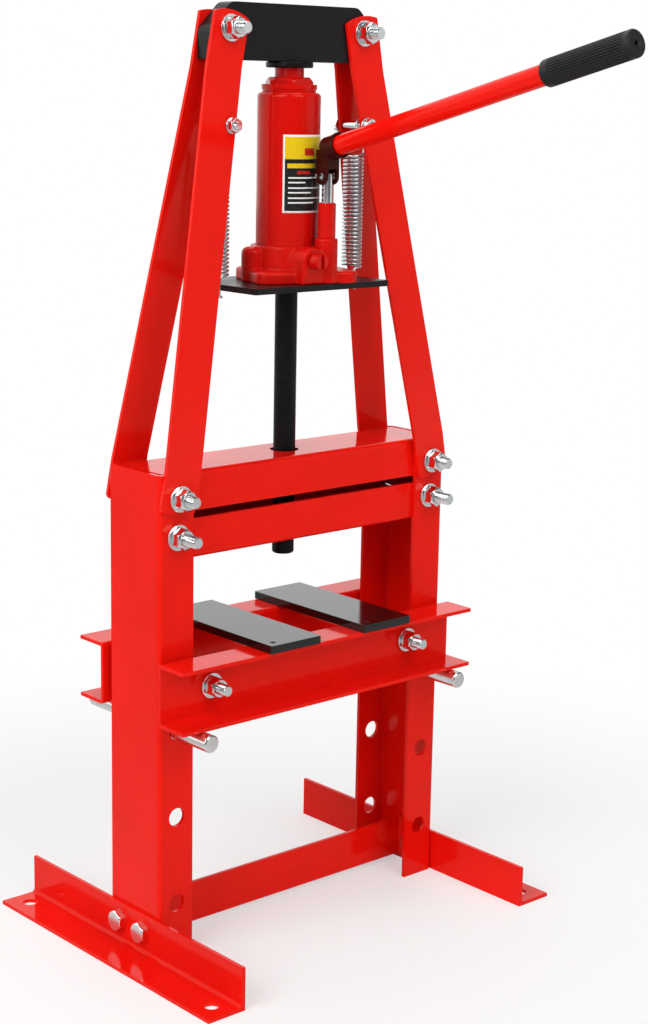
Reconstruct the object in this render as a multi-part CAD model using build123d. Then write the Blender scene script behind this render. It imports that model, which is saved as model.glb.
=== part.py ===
from build123d import *

import os
from math import atan, cos, degrees, pi, radians, sin, sqrt

# Bench press with an A-shaped head and a bottle jack, in millimetres. +Z is up, X runs across the two
# uprights and the pump handle points to the front, -Y. The origin is the centre of the four floor-bolt
# holes, on the floor under the ram.

# Uprights: two folded channels with their webs outwards
frame_width = 386.0
upright_height = 502.0
upright_web = 84.0
upright_flange = 42.0
upright_wall = 4.0
upright_bend = 4.6

# Bolt and pin rows in the uprights' flanges
flange_hole_inset = 22.0
pin_row_pitch = 92.0
pin_rows = 3

# Feet and the brace between the uprights
foot_leg = 45.0
foot_wall = 4.0
foot_length = 360.0
foot_root_radius = 4.0
floor_hole_inset = 24.0
floor_hole_end = 22.0
floor_hole_radius = 7.5
foot_bolt_spread = 39.0
foot_bolt_height = 26.5
brace_height = 44.0
brace_floor_gap = 7.5
brace_wall = 4.0
brace_bend = 7.0
brace_tab = 36.0
brace_back = 6.0

# Two cross beams nested between the uprights' flanges
beam_height = 40.0
beam_wall = 4.0
beam_bend = 4.6
beam_gap = 8.0
beam_side_gap = 0.4
beam_end_gap = 4.0
beam_bolt_drop = 24.0
beam_bolt_pitch = 39.0
ram_hole_gap = 3.5
ram_guide_gap = 0.6

# Four straps that lean from the uprights to the head block
strap_width = 42.0
strap_wall = 4.0
strap_foot_overhang = 16.0
strap_top_overhang = 17.0
strap_top_arc = 50.0
strap_corner = 6.0
strap_fold_rise = 4.0
strap_head_fold_drop = 7.0

# Head block
block_length = 218.0
block_height = 55.0
block_wall = 20.0
block_bevel = 26.0
block_bevel_radius = 12.0
head_bolt_spread = 174.0
head_bolt_rise = 30.0

# Bed: two channels back to back, on two pins, with two loose press plates
rail_height = 65.0
rail_flange = 40.0
rail_wall = 4.0
rail_bend = 4.6
rail_overhang = 5.0
rail_side_gap = 4.5
rail_base = 251.5
bed_bolt_inset = 16.0
spacer_wall = 3.0
pin_radius = 9.0
pin_length = 197.0
pin_play = 0.5
pin_chamfer = 1.5
pin_seat_gap = 0.3
plate_width = 66.0
plate_length = 180.0
plate_wall = 8.5
plate_hole_radius = 2.5
plate_hole_inset = 10.5
left_plate_inset = 23.5
right_plate_inset = 36.5
plate_edge = 1.0

# Ram and the carrier plate under the jack
ram_base = 392.0
ram_radius = 11.5
ram_length = 279.5
ram_chamfer = 1.5
carrier_end = 5.8
carrier_depth = 117.0
carrier_wall = 6.0
carrier_corner = 3.0
spring_hole_radius = 3.2

# Return springs
spring_radius = 10.8
wire_radius = 1.4
wire_sides = 8
spring_turns = 29
spring_pitch = 3.95
spring_low_gap = 9.5
hanger_drop = 62.0
hanger_inset = 15.3
hook_gap = 0.4
hook_curl = 3.0

# Jack: piston, saddle, reservoir and cap
saddle_radius = 23.8
saddle_height = 6.0
saddle_spigot_radius = 8.0
saddle_spigot = 9.0
piston_radius = 14.7
piston_reveal = 9.0
piston_head = 14.0
piston_floor_gap = 6.0
press_bore_radius = 17.0
press_wall = 4.0
running_gap = 0.05
slide_gap = 0.3
piston_groove_height = 5.0
piston_groove_depth = 3.0
reservoir_radius = 32.0
reservoir_wall = 3.0
reservoir_shoulder = 5.0
reservoir_height = 157.0
reservoir_seat = 7.0
gasket_wall = 1.5
cap_flange_radius = 28.0
cap_flange = 5.0
cap_hex_flats = 44.0
cap_hex = 7.0
cap_bevel = 5.0
cap_step = 2.5
cap_spigot_radius = 24.0
cap_spigot = 18.0
plug_radius = 5.0
plug_head_radius = 7.0
plug_head = 2.5
plug_drop = 34.0

# Jack base casting
base_left = 46.0
base_right = 62.0
base_front = 47.0
base_rear = 35.0
base_angle = 20.0
base_foot = 12.0
base_corner = 12.0
base_edge = 3.0
collar_radius = 37.5
collar_height = 36.0
collar_edge = 2.0
lug_radius = 11.0
lug_x = -40.0
lug_y = 7.0
lug_height = 35.0
lug_dome = 7.0
well_floor = 14.0
gallery_rise = 8.0

# Pump, with its plunger, lever socket and link
pump_x = 12.5
pump_y = -46.0
pump_boss_radius = 11.5
pump_boss_height = 45.0
pump_boss_edge = 1.5
pump_bridge = 17.0
pump_radius = 9.0
pump_length = 35.0
pump_thread = 20.0
pump_edge = 1.0
plunger_radius = 5.5
plunger_length = 76.0
plunger_seal_wall = 2.0
plunger_seal_height = 4.0
pump_pin_rise = 26.0
pump_arm = 9.67
pump_pin_radius = 2.5
pump_pin_play = 1.0
socket_width = 17.0
socket_round = 8.5
socket_eye_radius = 4.0
socket_slot_gap = 0.3
socket_slot_rise = 7.0
socket_tube_radius = 12.3
socket_tube_length = 20.0
socket_rim = 3.0
socket_rim_step = 0.8
socket_axis_rise = 26.4
socket_floor = 3.0
handle_angle = 14.7
link_wall = 3.0
link_side_gap = 2.0
link_eye_radius = 4.2
link_pin_drop = 76.0
link_pin_grip = 12.0

# Valve parts in the base
valve_x = -10.0
valve_rise = 23.5
valve_boss_radius = 13.0
valve_boss_reach = 53.0
valve_radius = 5.0
valve_depth = 14.0
valve_head_radius = 8.0
valve_head = 13.0
valve_head_gap = 1.0
valve_slot = 4.5
valve_edge = 1.0
ball_radius = 2.5
ball_play = 0.2
passage_radius = 1.5

# Handle
handle_radius = 10.0
handle_wall = 2.0
handle_length = 391.0
handle_play = 0.3
grip_radius = 12.6
grip_length = 102.0
grip_ribs = 32
grip_rib_depth = 0.9
grip_collar = 9.0
grip_cap = 6.0
grip_cap_edge = 3.0
grip_vent_radius = 2.2

# Fasteners: the large, foot and hanger sizes
large_bolt_radius = 6.0
large_flats = 19.0
large_nut = 13.0
large_head = 7.5
large_washer_radius = 13.0
large_washer = 2.5
foot_bolt_radius = 6.0
foot_flats = 20.0
foot_nut = 10.8
foot_head = 8.5
foot_bolt_tail = 4.0
hanger_bolt_radius = 4.0
hanger_flats = 13.0
hanger_nut = 6.8
hanger_head = 5.3
hanger_washer_radius = 8.0
hanger_washer = 1.6
hanger_tail = 3.0
hole_play = 0.5
thread_play = 0.1
short_tail = 11.0
long_tail = 18.0
bed_tail = 12.0
bolt_chamfer = 1.0

# One overrun for every cut
overrun = 2.0

# A hexagon's corner chamfer is this share of its height
hex_chamfer_share = 0.18

# Places that follow from the sizes above
half_width = frame_width / 2
half_web = upright_web / 2
inner_face = half_web - upright_wall
row_x = half_width - flange_hole_inset
upper_bolt_z = upright_height - beam_bolt_drop
lower_bolt_z = upper_bolt_z - beam_bolt_pitch
upper_beam_base = upright_height - beam_height
lower_beam_base = upper_beam_base - beam_gap - beam_height
beam_half_depth = inner_face - beam_side_gap
beam_length = frame_width - 2 * (upright_wall + beam_end_gap)
pin_z = rail_base - pin_seat_gap - pin_radius
rail_top = rail_base + rail_height
rail_mid = rail_base + rail_height / 2
rail_inner = half_web + rail_side_gap
rail_length = frame_width + 2 * rail_overhang
bed_bolt_x = half_width - upright_flange - bed_bolt_inset
foot_face = half_width + foot_wall
carrier_base = ram_base + ram_length
jack_base_z = carrier_base + carrier_wall
collar_top = jack_base_z + collar_height
reservoir_base = collar_top - reservoir_seat + gasket_wall
reservoir_top = reservoir_base + reservoir_height
cap_base = reservoir_top + cap_step
cap_neck_radius = reservoir_radius - reservoir_shoulder
cap_top = cap_base + cap_flange + cap_hex
saddle_base = cap_top + piston_reveal
block_base = saddle_base + saddle_height
block_top = block_base + block_height
head_bolt_z = block_base + head_bolt_rise
head_bolt_x = head_bolt_spread / 2
strap_lean = (row_x - head_bolt_x) / (head_bolt_z - upper_bolt_z)
strap_turn = degrees(atan(strap_lean))
strap_fold_z = upright_height + strap_fold_rise
strap_head_fold_z = block_base - strap_head_fold_drop
strap_slope = (half_web - block_wall / 2) / (strap_head_fold_z - strap_fold_z)
hanger_z = block_base - hanger_drop
hanger_x = head_bolt_x + strap_lean * (head_bolt_z - hanger_z) - hanger_inset
coil_radius = spring_radius - wire_radius
hook_radius = hanger_bolt_radius + hook_gap + wire_radius
carrier_half_length = hanger_x - hook_radius + carrier_end
well_z = jack_base_z + well_floor
pump_base_z = jack_base_z + pump_boss_height
pump_top_z = pump_base_z + pump_length
pump_pin_z = pump_top_z + pump_pin_rise
fulcrum_y = pump_y + pump_arm
valve_z = jack_base_z + valve_rise
gallery_z = jack_base_z + gallery_rise
socket_axis_z = pump_pin_z + socket_axis_rise
socket_right = pump_x + socket_width / 2
link_x = socket_right + link_side_gap


def block_between(x0, x1, y0, y1, z0, z1):
    """A box between two corners."""
    return Pos((x0 + x1) / 2, (y0 + y1) / 2, (z0 + z1) / 2) * Box(x1 - x0, y1 - y0, z1 - z0)


def rod_x(radius, x0, x1, y, z):
    """A round bar along X."""
    return Pos((x0 + x1) / 2, y, z) * Rot(0, 90, 0) * Cylinder(radius, x1 - x0)


def rod_y(radius, y0, y1, x, z):
    """A round bar along Y."""
    return Pos(x, (y0 + y1) / 2, z) * Rot(90, 0, 0) * Cylinder(radius, y1 - y0)


def rod_z(radius, z0, z1, x=0, y=0):
    """A round bar along Z."""
    return Pos(x, y, (z0 + z1) / 2) * Cylinder(radius, z1 - z0)


def channel_profile(web, flange, wall, bend):
    """A folded C: the web on X = 0, across Y, and the flanges along +X."""
    outer = Pos(flange / 2, 0) * Rectangle(flange, web)
    outer = fillet(outer.vertices().sort_by(Axis.X)[:2], bend)
    inner_length = flange - wall + overrun
    inner = Pos(wall + inner_length / 2, 0) * Rectangle(inner_length, web - 2 * wall)
    inner = fillet(inner.vertices().sort_by(Axis.X)[:2], bend - wall)
    return outer - inner


def channel(origin, depth_way, length_way, sizes, length):
    """A folded channel of the given web, flange, wall and bend, from an origin on its web."""
    frame = Plane(origin=origin, x_dir=depth_way, z_dir=length_way)
    return extrude(frame * channel_profile(*sizes), length)


def hexagon(flats, height, way, origin):
    """A hexagonal nut or head with chamfered corners, from origin along way."""
    corner_radius = flats / sqrt(3)
    prism = extrude(RegularPolygon(flats / 2, 6, major_radius=False), height)
    round_bar = Pos(0, 0, height / 2) * Cylinder(corner_radius, height)
    round_bar = chamfer(round_bar.edges().filter_by(GeomType.CIRCLE), hex_chamfer_share * height)
    return Plane(origin=origin, z_dir=way) * (prism & round_bar)


def shank(radius, start, way, length):
    """A bolt's round shank from start along way, with a chamfered tip."""
    bar = Pos(0, 0, length / 2) * Cylinder(radius, length)
    tip = bar.edges().filter_by(GeomType.CIRCLE).sort_by(Axis.Z)[-1:]
    return Plane(origin=start, z_dir=way) * chamfer(tip, bolt_chamfer)


def ring(outer, inner, start, way, length):
    """A round ring from start along way."""
    return Plane(origin=start, z_dir=way) * extrude(Circle(outer) - Circle(inner), length)


def hex_bolt(radius, flats, head, start, way, length):
    """A bolt whose head lies behind start and whose shank runs along way."""
    back = Vector(*way) * -head
    head_solid = hexagon(flats, head, way, Vector(*start) + back)
    return head_solid + shank(radius, start, way, length)


def threaded_nut(radius, flats, height, start, way):
    """A hexagon nut seated on start, with its hole a thread's play over the bolt."""
    body = hexagon(flats, height, way, start)
    hole_start = Vector(*start) - Vector(*way) * overrun
    hole = Plane(origin=hole_start, z_dir=way) * extrude(Circle(radius + thread_play), height + 2 * overrun)
    return body - hole


def upright(side):
    """A folded channel on end: web outwards, bolt and pin holes in both flanges, foot holes in the web."""
    sizes = (upright_web, upright_flange, upright_wall, upright_bend)
    solid = channel((side * half_width, 0, 0), (-side, 0, 0), (0, 0, 1), sizes, upright_height)
    reach = half_web + overrun
    for row in range(pin_rows):
        z = pin_z - row * pin_row_pitch
        solid -= rod_y(pin_radius + pin_play, -reach, reach, side * row_x, z)
    for z in (upper_bolt_z, lower_bolt_z):
        solid -= rod_y(large_bolt_radius + hole_play, -reach, reach, side * row_x, z)
    for y in (-foot_bolt_spread / 2, foot_bolt_spread / 2):
        x0 = side * half_width - upright_wall - overrun
        x1 = side * half_width + upright_wall + overrun
        solid -= rod_x(foot_bolt_radius + hole_play, x0, x1, y, foot_bolt_height)
    return solid


def foot(side):
    """A length of angle: one leg on the upright's web, the other on the floor, with two floor-bolt holes."""
    angle = Pos(foot_leg / 2, foot_wall / 2) * Rectangle(foot_leg, foot_wall)
    angle += Pos(foot_wall / 2, foot_leg / 2) * Rectangle(foot_wall, foot_leg)
    root = angle.vertices().sort_by_distance((foot_wall, foot_wall))[0]
    angle = fillet(root, foot_root_radius)
    start = (side * half_width, side * foot_length / 2, 0)
    frame = Plane(origin=start, x_dir=(side, 0, 0), z_dir=(0, -side, 0))
    solid = extrude(frame * angle, foot_length)
    hole_x = side * (half_width + floor_hole_inset)
    hole_y = foot_length / 2 - floor_hole_end
    for y in (-hole_y, hole_y):
        solid -= rod_z(floor_hole_radius, -overrun, foot_wall + overrun, hole_x, y)
    for y in (-foot_bolt_spread / 2, foot_bolt_spread / 2):
        x0 = side * (half_width + foot_wall / 2) - foot_wall
        x1 = side * (half_width + foot_wall / 2) + foot_wall
        solid -= rod_x(foot_bolt_radius + hole_play, x0, x1, y, foot_bolt_height)
    return solid


def cross_brace():
    """A flat bar on edge between the uprights, its two ends folded forward as bolt tabs."""
    sizes = (frame_width - 2 * upright_wall, brace_tab, brace_wall, brace_bend)
    solid = channel((0, brace_back, brace_floor_gap), (0, -1, 0), (0, 0, 1), sizes, brace_height)
    reach = half_width + overrun
    return solid - rod_x(foot_bolt_radius + hole_play, -reach, reach, -foot_bolt_spread / 2, foot_bolt_height)


def cross_beam(web_z, depth_way, bolt_z, hole_radius):
    """A folded channel across the uprights, with a bolt hole at each end and the ram's hole in its web."""
    sizes = (2 * beam_half_depth, beam_height, beam_wall, beam_bend)
    start = (-beam_length / 2, 0, web_z)
    solid = channel(start, (0, 0, depth_way), (1, 0, 0), sizes, beam_length)
    reach = half_web + overrun
    for x in (-row_x, row_x):
        solid -= rod_y(large_bolt_radius + hole_play, -reach, reach, x, bolt_z)
    return solid - rod_z(hole_radius, web_z - beam_wall - overrun, web_z + beam_wall + overrun)


def strap_outline():
    """The right-hand bar in front view: straight between its two bolts, with a shallow arc on top."""
    span = sqrt((row_x - head_bolt_x) ** 2 + (head_bolt_z - upper_bolt_z) ** 2)
    length = strap_foot_overhang + span + strap_top_overhang
    bar = Pos(0, length / 2 - strap_foot_overhang) * Rectangle(strap_width, length)
    bar = fillet(bar.vertices(), strap_corner)
    cap_centre = span + strap_top_overhang - strap_top_arc
    bar = bar & (Pos(0, cap_centre) * Circle(strap_top_arc) + Pos(0, cap_centre / 2 - strap_foot_overhang)
                 * Rectangle(2 * strap_width, cap_centre + 2 * strap_foot_overhang))
    return Pos(row_x, upper_bolt_z) * Rot(0, 0, strap_turn) * bar


def strap_rise():
    """The bar in side view, +Y half: flat on the upright, folded inwards, then flat on the head block."""
    low = upper_bolt_z - strap_width
    high = block_top + strap_width
    near = block_wall / 2
    corners = [
        (half_web, low),
        (half_web, strap_fold_z),
        (near, strap_head_fold_z),
        (near, high),
        (near + strap_wall, high),
        (near + strap_wall, strap_head_fold_z),
        (half_web + strap_wall, strap_fold_z),
        (half_web + strap_wall, low),
    ]
    return make_face(Polyline(*corners, close=True))


def right_rear_strap():
    """A flat bar folded about two level lines: the side view's band cut by the front view's outline."""
    reach = frame_width
    band = extrude(Plane.YZ * strap_rise(), reach, both=True)
    outline = extrude(Plane.XZ * strap_outline(), reach, both=True)
    solid = band & outline
    far = half_web + strap_wall + overrun
    solid -= rod_y(large_bolt_radius + hole_play, 0, far, row_x, upper_bolt_z)
    solid -= rod_y(large_bolt_radius + hole_play, 0, far, head_bolt_x, head_bolt_z)
    return solid - rod_y(hanger_bolt_radius + hole_play, 0, far, hanger_x, hanger_z)


def strap(side, depth_side):
    """One of the four straps, mirrored from the right rear one."""
    solid = right_rear_strap()
    if side < 0:
        solid = mirror(solid, about=Plane.YZ)
    if depth_side < 0:
        solid = mirror(solid, about=Plane.XZ)
    return solid


def head_block():
    """A thick plate with bevelled and rounded upper corners and a bolt hole near each end."""
    half = block_length / 2
    corners = [
        (-half, block_base),
        (half, block_base),
        (half, block_top - block_bevel),
        (half - block_bevel, block_top),
        (block_bevel - half, block_top),
        (-half, block_top - block_bevel),
    ]
    outline = make_face(Polyline(*corners, close=True))
    outline = fillet(outline.vertices().sort_by(Axis.Y)[2:], block_bevel_radius)
    solid = extrude(Plane.XZ * outline, block_wall / 2, both=True)
    reach = block_wall / 2 + overrun
    for x in (-head_bolt_x, head_bolt_x):
        solid -= rod_y(large_bolt_radius + hole_play, -reach, reach, x, head_bolt_z)
    return solid


def bed_rail(depth_side):
    """A channel along X with its flanges away from the uprights and two tie-bolt holes in its web."""
    sizes = (rail_height, rail_flange, rail_wall, rail_bend)
    start = (-rail_length / 2, depth_side * rail_inner, rail_mid)
    solid = channel(start, (0, depth_side, 0), (1, 0, 0), sizes, rail_length)
    middle = depth_side * (rail_inner + rail_wall / 2)
    for x in (-bed_bolt_x, bed_bolt_x):
        solid -= rod_y(large_bolt_radius + hole_play, middle - rail_wall, middle + rail_wall, x, rail_mid)
    return solid


def support_pin(side):
    """A straight steel pin through both flanges of an upright, under the bed."""
    solid = rod_y(pin_radius, -pin_length / 2, pin_length / 2, side * row_x, pin_z)
    return chamfer(solid.edges().filter_by(GeomType.CIRCLE), pin_chamfer)


def press_plate(x0, hole_x):
    """A loose flat bar across the two rails, with a small hole in its front corner."""
    half = plate_length / 2
    top = rail_top + plate_wall
    solid = block_between(x0, x0 + plate_width, -half, half, rail_top, top)
    solid = chamfer(solid.edges().filter_by(Axis.Z), plate_edge)
    hole_y = plate_hole_inset - half
    return solid - rod_z(plate_hole_radius, rail_top - overrun, top + overrun, hole_x, hole_y)


def left_press_plate():
    """The plate on the left of the ram."""
    x0 = -left_plate_inset - plate_width
    return press_plate(x0, x0 + plate_hole_inset)


def right_press_plate():
    """The plate on the right of the ram."""
    return press_plate(right_plate_inset, right_plate_inset + plate_hole_inset)


def ram_rod():
    """The round ram under the carrier plate."""
    solid = rod_z(ram_radius, ram_base, carrier_base)
    return chamfer(solid.edges().filter_by(GeomType.CIRCLE).sort_by(Axis.Z)[:1], ram_chamfer)


def carrier_plate():
    """The flat plate that carries the jack and hangs from the two springs."""
    half_x = carrier_half_length
    half_y = carrier_depth / 2
    solid = block_between(-half_x, half_x, -half_y, half_y, carrier_base, jack_base_z)
    solid = fillet(solid.edges().filter_by(Axis.Z), carrier_corner)
    for x in (-hanger_x, hanger_x):
        hole_x = x - hook_radius
        solid -= rod_z(spring_hole_radius, carrier_base - overrun, jack_base_z + overrun, hole_x, -coil_radius)
    return solid


def spring_path(x):
    """The spring's wire line, with both hooks in the plane of the coil's front edge.

    A curl under the plate, a straight rise through its hole, a quarter turn into the helix, a quarter turn
    out of it, a straight rise and a half turn over the hanger bolt.
    """
    y = -coil_radius
    base = jack_base_z + spring_low_gap
    top = base + spring_turns * spring_pitch
    one_turn = Rot(0, 0, -90) * Helix(spring_pitch, spring_pitch, coil_radius)
    coil = [Pos(x, 0, base + turn * spring_pitch) * one_turn for turn in range(spring_turns)]
    climb = atan(spring_pitch / (2 * pi * coil_radius))
    bend = hook_radius / (1 - sin(climb)) * cos(climb)
    along = Vector(cos(climb), 0, sin(climb))
    left = x - hook_radius
    right = x + hook_radius
    curl_z = carrier_base - hook_curl
    curl = TangentArc((left, y, curl_z), (left + hook_curl, y, curl_z - hook_curl), tangent=(0, 0, -1))
    low_rise = Line((left, y, curl_z), (left, y, base - bend))
    turn_in = TangentArc((x, y, base), (left, y, base - bend), tangent=along * -1)
    turn_out = TangentArc((x, y, top), (right, y, top + bend), tangent=along)
    high_rise = Line((right, y, top + bend), (right, y, hanger_z))
    over = ThreePointArc((right, y, hanger_z), (x, y, hanger_z + hook_radius), (left, y, hanger_z))
    runs = (curl, low_rise, turn_in, *coil, turn_out, high_rise, over)
    return Wire([run.edge() for run in runs])


def spring(side):
    """A close-wound extension spring, hooked on the hanger bolt and into the carrier plate."""
    path = spring_path(side * hanger_x)
    return sweep(Plane(path @ 0, z_dir=path % 0) * RegularPolygon(wire_radius, wire_sides), path=path)


def saddle():
    """The jack's head disc, flat under the head block, with a spigot down into the piston."""
    solid = rod_z(saddle_radius, saddle_base, block_base)
    solid = chamfer(solid.edges().filter_by(GeomType.CIRCLE), bolt_chamfer)
    return solid + rod_z(saddle_spigot_radius, saddle_base - saddle_spigot, saddle_base)


def piston():
    """The lift piston: a rod with a wider head at its foot, a seal groove, and a socket for the saddle."""
    foot_z = well_z + piston_floor_gap
    solid = rod_z(piston_radius, foot_z, saddle_base)
    solid += rod_z(press_bore_radius - running_gap, foot_z, foot_z + piston_head)
    middle = foot_z + piston_head / 2
    groove_base = middle - piston_groove_height / 2
    floor_radius = press_bore_radius - piston_groove_depth
    solid -= ring(press_bore_radius, floor_radius, (0, 0, groove_base), (0, 0, 1), piston_groove_height)
    deep = saddle_spigot + slide_gap
    return solid - rod_z(saddle_spigot_radius + thread_play, saddle_base - deep, saddle_base + overrun)


def piston_seal():
    """The ring in the piston head's groove."""
    middle = well_z + piston_floor_gap + piston_head / 2
    height = piston_groove_height - 2 * running_gap
    floor_radius = press_bore_radius - piston_groove_depth + running_gap
    start = (0, 0, middle - height / 2)
    return ring(press_bore_radius - running_gap, floor_radius, start, (0, 0, 1), height)


def pressure_cylinder():
    """The inner tube that the piston runs in, seated in the base and held by the cap."""
    start = (0, 0, well_z)
    length = cap_base - cap_spigot - well_z
    return ring(press_bore_radius + press_wall, press_bore_radius, start, (0, 0, 1), length)


def reservoir():
    """The oil tube around the pressure cylinder, with a rounded shoulder drawn in to the cap's thread."""
    solid = rod_z(reservoir_radius, reservoir_base, reservoir_top)
    solid = fillet(solid.edges().filter_by(GeomType.CIRCLE).sort_by(Axis.Z)[-1:], reservoir_shoulder)
    shoulder_z = reservoir_top - reservoir_shoulder
    inside = rod_z(reservoir_radius - reservoir_wall, reservoir_base - overrun, shoulder_z)
    mouth = rod_z(cap_spigot_radius + thread_play, reservoir_base, reservoir_top + overrun)
    plug_z = reservoir_top - plug_drop
    port = rod_y(plug_radius + thread_play, 0, reservoir_radius + overrun, 0, plug_z)
    return solid - inside - mouth - port


def filler_plug():
    """The rubber plug in the oil port at the back of the reservoir."""
    z = reservoir_top - plug_drop
    inner = reservoir_radius - 2 * reservoir_wall
    flat = sqrt(reservoir_radius ** 2 - plug_head_radius ** 2)
    stem = rod_y(plug_radius, inner, reservoir_radius + plug_head, 0, z)
    head = rod_y(plug_head_radius, flat, reservoir_radius + plug_head, 0, z)
    head -= rod_z(reservoir_radius + slide_gap, z - 2 * plug_head_radius, z + 2 * plug_head_radius)
    return stem + head


def reservoir_gasket():
    """The flat ring under the reservoir's foot."""
    start = (0, 0, reservoir_base - gasket_wall)
    return ring(reservoir_radius, reservoir_radius - reservoir_wall, start, (0, 0, 1), gasket_wall)


def cap_nut():
    """The jack's top nut: a bevelled hexagon on a flange, a neck and a thread spigot, and the piston's bore."""
    prism = extrude(RegularPolygon(cap_hex_flats / 2, 6, major_radius=False), cap_hex)
    turned = Pos(0, 0, cap_hex / 2) * Cylinder(cap_hex_flats / sqrt(3), cap_hex)
    turned = chamfer(turned.edges().filter_by(GeomType.CIRCLE).sort_by(Axis.Z)[-1:], cap_bevel)
    solid = Pos(0, 0, cap_base + cap_flange) * (prism & turned)
    solid += rod_z(cap_flange_radius, cap_base, cap_base + cap_flange)
    solid += rod_z(cap_neck_radius, reservoir_top, cap_base)
    solid += rod_z(cap_spigot_radius, cap_base - cap_spigot, cap_base)
    return solid - rod_z(piston_radius + running_gap, cap_base - cap_spigot - overrun, cap_top + overrun)


def gallery(x, y):
    """A drilled oil way under the well, from (x, y) to the jack's axis."""
    start = Vector(x, y, gallery_z)
    way = Vector(-x, -y, 0)
    return Plane(origin=start, z_dir=way) * extrude(Circle(passage_radius), way.length)


def jack_base():
    """The cast base: turned foot plate, collar, side lug, pump boss and valve boss, bored for the oil parts."""
    z = jack_base_z
    foot_plate = block_between(-base_left, base_right, -base_front, base_rear, z, z + base_foot)
    foot_plate = fillet(foot_plate.edges().filter_by(Axis.Z), base_corner)
    foot_plate = fillet(foot_plate.faces().sort_by(Axis.Z)[-1].edges(), base_edge)
    foot_plate = Rot(0, 0, -base_angle) * foot_plate
    collar = rod_z(collar_radius, z, collar_top)
    collar = fillet(collar.edges().filter_by(GeomType.CIRCLE).sort_by(Axis.Z)[-1:], collar_edge)
    lug = rod_z(lug_radius, z, z + lug_height, lug_x, lug_y)
    lug = fillet(lug.edges().filter_by(GeomType.CIRCLE).sort_by(Axis.Z)[-1:], lug_dome)
    pump_boss = rod_z(pump_boss_radius, z, pump_base_z, pump_x, pump_y)
    pump_boss = fillet(pump_boss.edges().filter_by(GeomType.CIRCLE).sort_by(Axis.Z)[-1:], pump_boss_edge)
    bridge = block_between(
        pump_x - pump_bridge / 2, pump_x + pump_bridge / 2, pump_y, 0, z, collar_top - collar_edge)
    valve_boss = rod_y(valve_boss_radius, -valve_boss_reach, 0, valve_x, valve_z)
    valve_boss += block_between(
        valve_x - valve_boss_radius, valve_x + valve_boss_radius, -valve_boss_reach, 0, z, valve_z)
    solid = foot_plate + collar + lug + pump_boss + bridge + valve_boss
    solid -= rod_z(reservoir_radius + thread_play, collar_top - reservoir_seat, collar_top + overrun)
    solid -= rod_z(press_bore_radius + press_wall + thread_play, well_z, collar_top + overrun)
    thread_radius = pump_radius - plunger_seal_wall + thread_play
    solid -= rod_z(thread_radius, pump_base_z - pump_thread, pump_base_z + overrun, pump_x, pump_y)
    valve_end = valve_depth - valve_boss_reach
    solid -= rod_y(valve_radius + running_gap, -valve_boss_reach - overrun, valve_end, valve_x, valve_z)
    ball_y = valve_end + ball_radius
    solid -= rod_y(ball_radius + ball_play, valve_end, valve_end + 2 * ball_radius, valve_x, valve_z)
    ball_z = pump_base_z - pump_thread
    solid -= rod_z(ball_radius + ball_play, ball_z - 2 * ball_radius, ball_z + overrun, pump_x, pump_y)
    for x, y, z_top in ((pump_x, pump_y, ball_z), (valve_x, ball_y, valve_z), (0, 0, well_z)):
        solid -= rod_z(passage_radius, gallery_z, z_top, x, y)
        if y:
            solid -= gallery(x, y)
    link_z = pump_pin_z - link_pin_drop
    pin_start = socket_right - link_pin_grip
    return solid - rod_x(pump_pin_radius + running_gap, pin_start, link_x + overrun, fulcrum_y, link_z)


def valve_balls():
    """Two steel balls: one under the pump, one behind the release screw."""
    pump_ball_z = pump_base_z - pump_thread - ball_radius + ball_play
    screw_end = valve_depth - valve_boss_reach + ball_radius
    return [
        Pos(pump_x, pump_y, pump_ball_z) * Sphere(ball_radius),
        Pos(valve_x, screw_end, valve_z) * Sphere(ball_radius),
    ]


def release_valve():
    """The release screw: a plain shank in the base and a round head with a slot across it."""
    face = -valve_boss_reach
    head_base = face - valve_head_gap
    tip = face + valve_depth - slide_gap
    solid = rod_y(valve_radius, head_base, tip, valve_x, valve_z)
    head = rod_y(valve_head_radius, head_base - valve_head, head_base, valve_x, valve_z)
    head = chamfer(head.edges().filter_by(GeomType.CIRCLE), valve_edge)
    slot_reach = valve_head_radius + overrun
    front = head_base - valve_head - overrun
    slot = block_between(
        valve_x - valve_slot / 2, valve_x + valve_slot / 2, front, head_base - valve_head / 2,
        valve_z - slot_reach, valve_z + slot_reach)
    return solid + (head - slot)


def pump_cylinder():
    """The pump barrel: a round body on the boss, a thread down into it, and the plunger's bore."""
    z = pump_base_z
    body = rod_z(pump_radius, z, pump_top_z, pump_x, pump_y)
    body = chamfer(body.edges().filter_by(GeomType.CIRCLE).sort_by(Axis.Z)[-1:], pump_edge)
    thread = rod_z(pump_radius - plunger_seal_wall, z - pump_thread + plunger_seal_wall, z, pump_x, pump_y)
    bore = rod_z(plunger_radius + running_gap, z - pump_thread - overrun, pump_top_z + overrun, pump_x, pump_y)
    seal_radius = plunger_radius + plunger_seal_wall
    seal_seat = rod_z(seal_radius, pump_top_z - plunger_seal_height, pump_top_z + overrun, pump_x, pump_y)
    return body + thread - bore - seal_seat


def plunger_seal():
    """The wiper ring in the mouth of the pump barrel."""
    start = (pump_x, pump_y, pump_top_z - plunger_seal_height)
    outer = plunger_radius + plunger_seal_wall - thread_play
    return ring(outer, plunger_radius + running_gap, start, (0, 0, 1), plunger_seal_height)


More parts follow.
